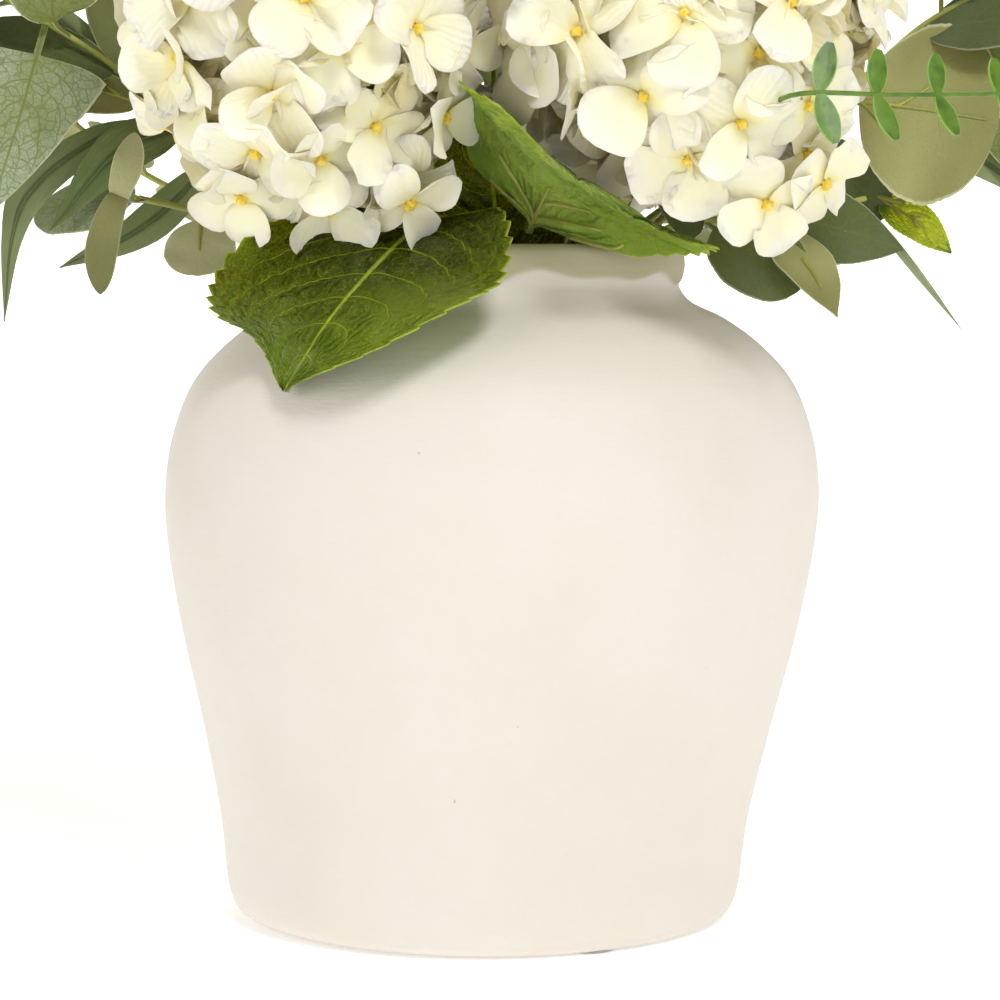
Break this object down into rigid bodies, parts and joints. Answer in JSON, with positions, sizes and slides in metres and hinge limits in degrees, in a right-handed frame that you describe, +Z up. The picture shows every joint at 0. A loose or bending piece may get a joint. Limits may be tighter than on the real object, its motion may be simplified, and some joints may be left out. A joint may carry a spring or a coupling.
{
  "type": "hydrangeas in a vase",
  "caption": "Artificial hydrangea heads with eucalyptus and long-leaf greenery standing in a wide-shouldered ceramic vase.",
  "frame": {"origin": "on the surface that the vase stands on, at the middle of the whole arrangement and of the vase's foot", "axes": "+Z up along the vase's axis, -Y towards the viewer of the arrangement's front, +X to that viewer's right"},
  "size_m": [0.4581, 0.3681, 0.4768],
  "materials": {
    "ceramic": "matte",
    "foam": "matte",
    "pad": "satin",
    "petal": "matte",
    "hydrangea_leaf": "satin",
    "eucalyptus_leaf": "matte",
    "long_leaf": "matte",
    "plastic_sprig": "satin"
  },
  "bodies": {
    "root": {"vase": "ceramic", "foam_block": "foam", "bumper_pad_1": "pad", "bumper_pad_2": "pad", "bumper_pad_3": "pad", "hydrangea_head_front_left": "petal", "hydrangea_stem_front_left": "hydrangea_leaf", "hydrangea_head_front_right": "petal", "hydrangea_stem_front_right": "hydrangea_leaf", "hydrangea_head_back_left": "petal", "hydrangea_stem_back_left": "hydrangea_leaf", "hydrangea_head_back_right": "petal", "hydrangea_stem_back_right": "hydrangea_leaf", "hydrangea_head_top": "petal", "hydrangea_stem_top": "hydrangea_leaf", "eucalyptus_left_high": "eucalyptus_leaf", "eucalyptus_left_low": "eucalyptus_leaf", "long_leaves_left": "long_leaf", "eucalyptus_right_high": "eucalyptus_leaf", "eucalyptus_right_low": "eucalyptus_leaf", "sprig_right": "plastic_sprig", "long_leaves_right": "long_leaf", "eucalyptus_back_left": "eucalyptus_leaf", "eucalyptus_back_right": "eucalyptus_leaf", "long_leaves_back": "long_leaf", "eucalyptus_left_back": "eucalyptus_leaf", "eucalyptus_right_back": "eucalyptus_leaf", "eucalyptus_top_left": "eucalyptus_leaf", "long_leaves_top_right": "long_leaf", "sprig_front_top": "plastic_sprig", "eucalyptus_back_top": "eucalyptus_leaf"}
  },
  "joints": []
}
